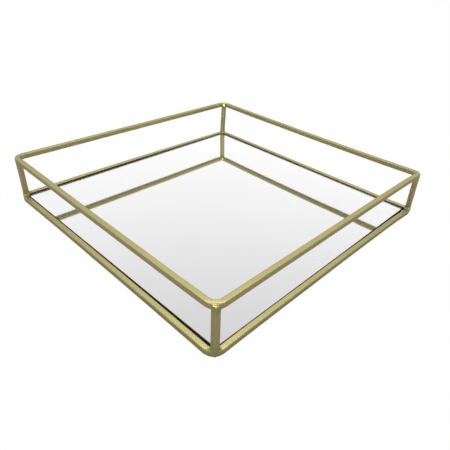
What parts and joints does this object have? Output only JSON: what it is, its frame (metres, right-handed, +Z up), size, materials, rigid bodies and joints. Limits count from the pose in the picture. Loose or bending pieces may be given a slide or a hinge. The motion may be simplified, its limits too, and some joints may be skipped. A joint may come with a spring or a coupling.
{
  "type": "mirror vanity tray",
  "caption": "Square open-frame vanity tray of satin brass-plated square bar, with a raised rail on corner posts and a mirror base.",
  "frame": {"origin": "middle of the tray, on the surface that its foot pads stand on", "axes": "+Z up, +X to the right and -Y to the front, along the tray's sides"},
  "size_m": [0.305, 0.305, 0.0508],
  "materials": {
    "satin_brass": "satin plated",
    "weld_metal": "satin plated over weld beads",
    "mirror_glass": "polished clear float glass",
    "mirror_silver": "silvered",
    "mirror_paint": "matt protective paint",
    "mirror_tape": "double-sided tape",
    "backing_board": "black-faced hardboard",
    "edge_glue": "black silicone glue",
    "felt": "black felt",
    "pad_rubber": "matt silicone rubber"
  },
  "bodies": {
    "root": {"upper_rail": "satin_brass", "upper_rail_seam": "weld_metal", "lower_rail": "satin_brass", "lower_rail_seam": "weld_metal", "post_front_left": "satin_brass", "post_front_right": "satin_brass", "post_back_right": "satin_brass", "post_back_left": "satin_brass", "upper_weld_front_left": "weld_metal", "upper_weld_front_right": "weld_metal", "upper_weld_back_right": "weld_metal", "upper_weld_back_left": "weld_metal", "lower_weld_front_left": "weld_metal", "lower_weld_front_right": "weld_metal", "lower_weld_back_right": "weld_metal", "lower_weld_back_left": "weld_metal", "tabs_front": "satin_brass", "tabs_right": "satin_brass", "tabs_back": "satin_brass", "tabs_left": "satin_brass", "tab_welds": "weld_metal", "mirror_glass": "mirror_glass", "mirror_silver": "mirror_silver", "mirror_paint": "mirror_paint", "mirror_tape": "mirror_tape", "backing_board": "backing_board", "edge_glue": "edge_glue", "felt_liner": "felt", "pad_front_left": "pad_rubber", "pad_front_right": "pad_rubber", "pad_back_right": "pad_rubber", "pad_back_left": "pad_rubber"}
  },
  "joints": []
}
